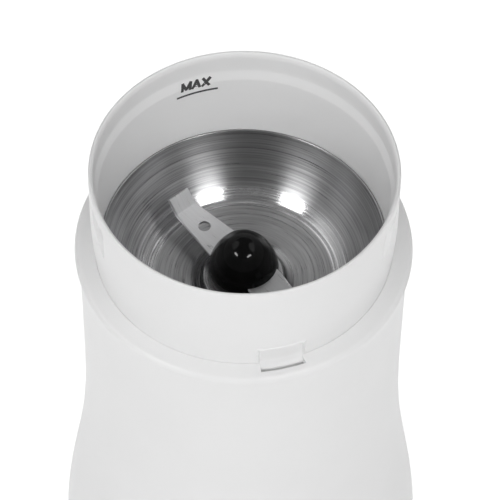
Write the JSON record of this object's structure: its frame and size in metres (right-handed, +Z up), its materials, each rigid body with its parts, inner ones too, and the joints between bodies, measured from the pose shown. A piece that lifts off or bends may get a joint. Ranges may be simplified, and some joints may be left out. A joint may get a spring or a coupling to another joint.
{
  "type": "electric spice grinder",
  "caption": "Waisted electric spice grinder with a tall round collar, a steel grinding bowl, a two-winged blade under a black domed cap, and a lid-operated interlock switch.",
  "frame": {"origin": "centre of the underside, on the surface that the rubber feet stand on", "axes": "+Z up along the motor shaft; the front, with the tongue pocket just right of the middle, faces -Y; +X is the right-hand side seen from the front"},
  "size_m": [0.0962, 0.0962, 0.158],
  "materials": {
    "white_plastic": "satin moulded white plastic",
    "bowl_steel": "spun and brushed stainless steel",
    "blade_steel": "satin stainless steel, ground edges",
    "black_gloss": "polished black plastic",
    "black_plastic": "moulded black plastic",
    "dark_rubber": "moulded rubber",
    "screw_steel": "zinc plated",
    "shaft_steel": "ground",
    "cast_alloy": "die cast",
    "bronze": "sintered",
    "core_iron": "stacked sheet edges",
    "copper": "enamelled windings",
    "brass_holder": "pressed sheet",
    "carbon": "pressed carbon",
    "spring_steel": "drawn wire",
    "fan_nylon": "moulded nylon",
    "base_plastic": "fine textured plastic",
    "signal_red": "moulded",
    "wire_blue": "insulation"
  },
  "bodies": {
    "housing": {"body_shell": "white_plastic", "collar": "white_plastic", "bowl": "bowl_steel", "bowl_gasket": "dark_rubber", "shaft_seal": "dark_rubber", "upper_bracket": "cast_alloy", "upper_bush": "bronze", "lower_bracket": "cast_alloy", "lower_bush": "bronze", "stator_core": "core_iron", "field_coils": "copper", "brush_holders": "brass_holder", "carbon_brushes": "carbon", "brush_springs": "spring_steel", "motor_bolts": "screw_steel", "motor_isolators": "dark_rubber", "bracket_screws": "screw_steel", "shell_screws": "screw_steel", "pusher_springs": "spring_steel", "switch_body": "black_plastic", "switch_bracket": "screw_steel", "switch_screws": "screw_steel", "base_plate": "base_plastic", "base_screws": "screw_steel", "rubber_feet": "dark_rubber", "cord_grommet": "dark_rubber", "cord_clamp": "base_plastic", "clamp_screws": "screw_steel", "lead_wires": "wire_blue"},
    "rotor": {"motor_shaft": "shaft_steel", "armature_core": "core_iron", "armature_windings": "copper", "commutator": "copper", "cooling_fan": "fan_nylon", "blade_hub": "black_plastic", "blade": "blade_steel", "dome_cap": "black_gloss"},
    "pusher": {"interlock_pusher": "white_plastic"},
    "lever": {"switch_lever": "spring_steel"},
    "plunger": {"switch_plunger": "signal_red"}
  },
  "joints": [
    {"name": "rotor_spin", "type": "hinge", "parent": "housing", "child": "rotor", "pos_m": [0, 0, 0.1192], "axis": [0, 0, 1], "continuous": true},
    {"name": "interlock_press", "type": "slide", "parent": "housing", "child": "pusher", "axis": [0, 0, -1], "range_m": [0, 0.0025], "stiffness_N_per_m": 200, "springref_m": -0.003, "deforming": ["pusher_springs"]},
    {"name": "lever_tilt", "type": "hinge", "parent": "housing", "child": "lever", "pos_m": [-0.00334, -0.03307, 0.10338], "axis": [-0.2656, 0.9641, 0], "range_deg": [0, 12]},
    {"name": "plunger_press", "type": "slide", "parent": "housing", "child": "plunger", "axis": [0, 0, -1], "range_m": [0, 0.00085]}
  ],
  "couplings": [
    {"joint": "lever_tilt", "follows": "interlock_press", "rad_per_m": 81.514},
    {"joint": "plunger_press", "follows": "interlock_press", "ratio": 0.33333}
  ]
}
